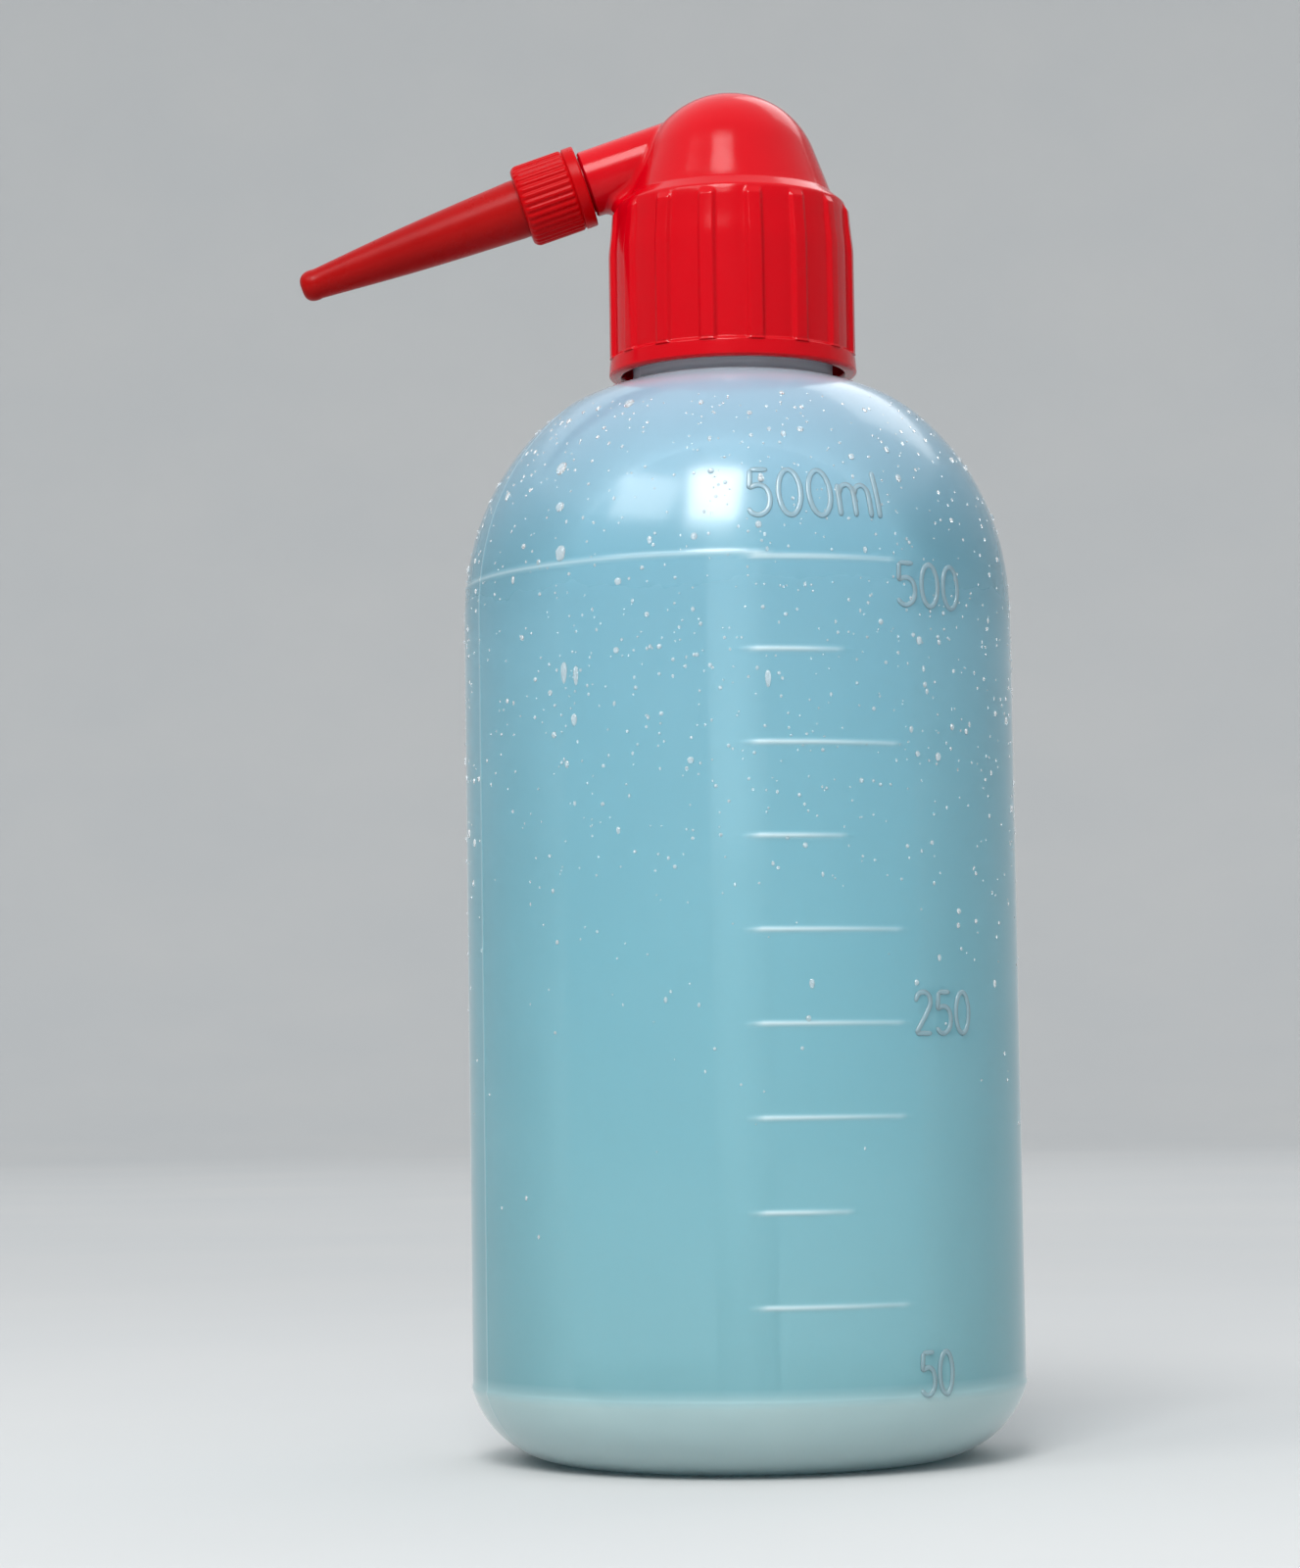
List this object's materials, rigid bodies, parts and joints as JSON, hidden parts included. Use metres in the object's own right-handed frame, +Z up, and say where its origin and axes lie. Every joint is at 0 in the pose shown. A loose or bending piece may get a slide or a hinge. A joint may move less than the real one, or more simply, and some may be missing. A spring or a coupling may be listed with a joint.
{
  "type": "wash bottle",
  "caption": "Squeezable laboratory wash bottle with a domed screw cap, a slanted spout, a tapered jet and a dip tube.",
  "frame": {"origin": "centre of the flat base, on the bottle's axis", "axes": "+Z up the bottle's axis, spout towards -X, +Y away from the side with the volume scale"},
  "size_m": [0.0976, 0.0752, 0.1873],
  "materials": {
    "bottle_plastic": "milky translucent low-density polyethylene, softly glossy",
    "tube_plastic": "translucent polyethylene tube",
    "ring_foam": "white closed-cell foam washer",
    "cap_plastic": "glossy bright red moulded plastic",
    "jet_plastic": "duller, darker red soft plastic"
  },
  "bodies": {
    "bottle": {"bottle": "bottle_plastic"},
    "riser": {"dip_tube": "tube_plastic"},
    "cap": {"screw_cap": "cap_plastic", "sealing_ring": "ring_foam"},
    "spray_jet": {"jet": "jet_plastic"},
    "nut": {"jet_nut": "jet_plastic"}
  },
  "joints": [
    {"name": "cap_lift", "type": "slide", "parent": "bottle", "child": "riser", "axis": [0, 0, 1], "range_m": [0, 0.006]},
    {"name": "cap_turn", "type": "hinge", "parent": "riser", "child": "cap", "pos_m": [0, 0, 0.16], "axis": [0, 0, 1], "range_deg": [0, 540]},
    {"name": "jet_out", "type": "slide", "parent": "cap", "child": "spray_jet", "axis": [-0.9483, 0, -0.3173], "range_m": [0, 0.003]},
    {"name": "nut_turn", "type": "hinge", "parent": "spray_jet", "child": "nut", "pos_m": [0, 0, 0.1817], "axis": [-0.9483, 0, -0.3173], "range_deg": [0, 540]}
  ],
  "couplings": [
    {"joint": "cap_lift", "follows": "cap_turn", "m_per_rad": 0.00063662},
    {"joint": "nut_turn", "follows": "jet_out", "rad_per_m": 3141.6}
  ]
}
